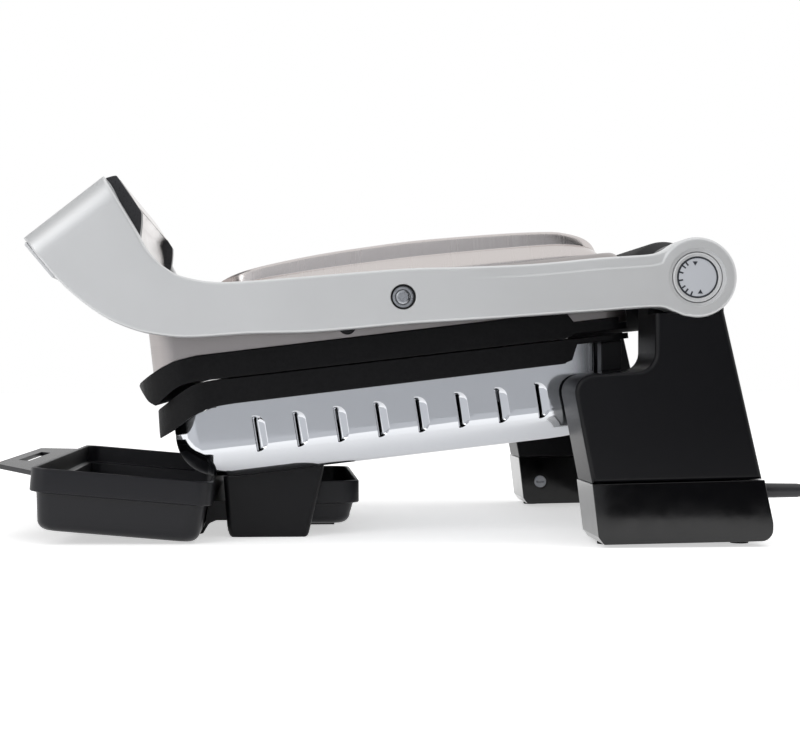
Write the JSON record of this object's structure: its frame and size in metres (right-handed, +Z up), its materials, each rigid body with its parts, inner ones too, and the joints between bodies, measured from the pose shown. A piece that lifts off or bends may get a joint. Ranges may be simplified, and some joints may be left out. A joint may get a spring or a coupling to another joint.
{
  "type": "electric contact grill",
  "caption": "Countertop electric contact grill: ribbed plates in a hinged cast frame with a control handle, louvred pan, rear legs, drip trays and a mains cord.",
  "frame": {"origin": "on the table under the middle of the machine, centred across its width and between the drip tray's pull edge and the rear of the leg bases", "axes": "+X to the rear, towards the hinge and the cord; +Y to the machine's left, away from the release button; +Z up"},
  "size_m": [0.588, 0.345, 0.1971],
  "materials": {
    "cast_silver": "satin silver paint on a die casting",
    "hood_silver": "satin silver paint",
    "polished_steel": "polished, deep-drawn",
    "brushed_cover": "fine brushed",
    "handle_metal": "polished",
    "plate_coating": "satin non-stick coating on cast aluminium",
    "black_plastic": "fine moulded texture",
    "gloss_black": "glossy",
    "tray_plastic": "moulded satin",
    "steel_pin": "ground steel",
    "sheet_metal": "bright sheet",
    "bronze": "sintered bronze",
    "heater_sheath": "heat-toned sheath",
    "ceramic": "ceramic body",
    "grip_rubber": "soft-touch",
    "foot_rubber": "moulded",
    "display_glass": "clear over dark display",
    "key_metal": "satin",
    "board_green": "solder mask",
    "cord_rubber": "satin"
  },
  "bodies": {
    "base": {"right_leg": "black_plastic", "left_leg": "black_plastic", "right_leg_base": "gloss_black", "left_leg_base": "gloss_black", "rear_bridge": "black_plastic", "hinge_barrel": "black_plastic", "hinge_pins": "steel_pin", "lower_pan": "polished_steel", "lower_grill_plate": "plate_coating", "lower_element": "heater_sheath", "lower_reflector": "sheet_metal", "lower_plate_clips": "sheet_metal", "thermostat": "bronze", "thermal_fuse": "ceramic", "terminal_block": "ceramic", "front_stand": "black_plastic", "rubber_feet": "foot_rubber", "rear_supports": "black_plastic", "pan_spacers": "steel_pin", "base_screws": "steel_pin", "strain_relief": "cord_rubber", "power_cord": "cord_rubber", "cord_coil": "cord_rubber", "mains_plug": "cord_rubber"},
    "lid_frame": {"right_arm": "cast_silver", "left_arm": "cast_silver", "hinge_bushes": "bronze", "dial_ring": "key_metal", "hinge_cap": "key_metal", "pivot_screws": "steel_pin", "pivot_washers": "steel_pin", "handle_shell": "cast_silver", "handle_back": "handle_metal", "handle_pads": "grip_rubber", "handle_trim": "key_metal", "control_fascia": "gloss_black", "display_window": "display_glass", "control_board": "board_green"},
    "upper_unit": {"upper_housing": "hood_silver", "lid_cover": "brushed_cover", "upper_grill_plate": "plate_coating", "upper_element": "heater_sheath", "upper_reflector": "sheet_metal", "upper_thermostat": "bronze", "upper_plate_clips": "sheet_metal"},
    "release_button": {"release_button": "key_metal"},
    "power_button": {"power_button": "key_metal"},
    "minus_button": {"minus_button": "key_metal"},
    "plus_button": {"plus_button": "key_metal"},
    "plate_release": {"plate_release": "black_plastic"},
    "drip_tray": {"drip_tray": "tray_plastic"},
    "spare_tray": {"spare_tray": "tray_plastic"}
  },
  "joints": [
    {"name": "lid_hinge", "type": "hinge", "parent": "base", "child": "lid_frame", "pos_m": [0.16771, 0, 0.1412], "axis": [0, 1, 0], "range_deg": [0, 180]},
    {"name": "upper_float", "type": "hinge", "parent": "lid_frame", "child": "upper_unit", "pos_m": [0.01351, 0, 0.1306], "axis": [0, 1, 0], "range_deg": [0, 6.3]},
    {"name": "release_press", "type": "slide", "parent": "lid_frame", "child": "release_button", "axis": [0, 1, 0], "range_m": [0, 0.0025], "stiffness_N_per_m": 800, "springref_m": -0.0008},
    {"name": "power_button_press", "type": "slide", "parent": "lid_frame", "child": "power_button", "axis": [0.6198, 0, -0.7848], "range_m": [0, 0.001], "stiffness_N_per_m": 600, "springref_m": -0.0005},
    {"name": "minus_button_press", "type": "slide", "parent": "lid_frame", "child": "minus_button", "axis": [0.6198, 0, -0.7848], "range_m": [0, 0.001], "stiffness_N_per_m": 600, "springref_m": -0.0005},
    {"name": "plus_button_press", "type": "slide", "parent": "lid_frame", "child": "plus_button", "axis": [0.6198, 0, -0.7848], "range_m": [0, 0.001], "stiffness_N_per_m": 600, "springref_m": -0.0005},
    {"name": "plate_release_press", "type": "slide", "parent": "upper_unit", "child": "plate_release", "axis": [0, 1, 0], "range_m": [0, 0.002], "stiffness_N_per_m": 600, "springref_m": -0.0006},
    {"name": "drip_tray_slide", "type": "slide", "parent": "base", "child": "drip_tray", "axis": [-1, 0, 0], "range_m": [0, 0.09]},
    {"name": "spare_tray_slide", "type": "slide", "parent": "base", "child": "spare_tray", "axis": [1, 0, 0], "range_m": [0, 0.08]}
  ],
  "couplings": [
    {"joint": "upper_float", "follows": "lid_hinge", "ratio": 0.035}
  ]
}
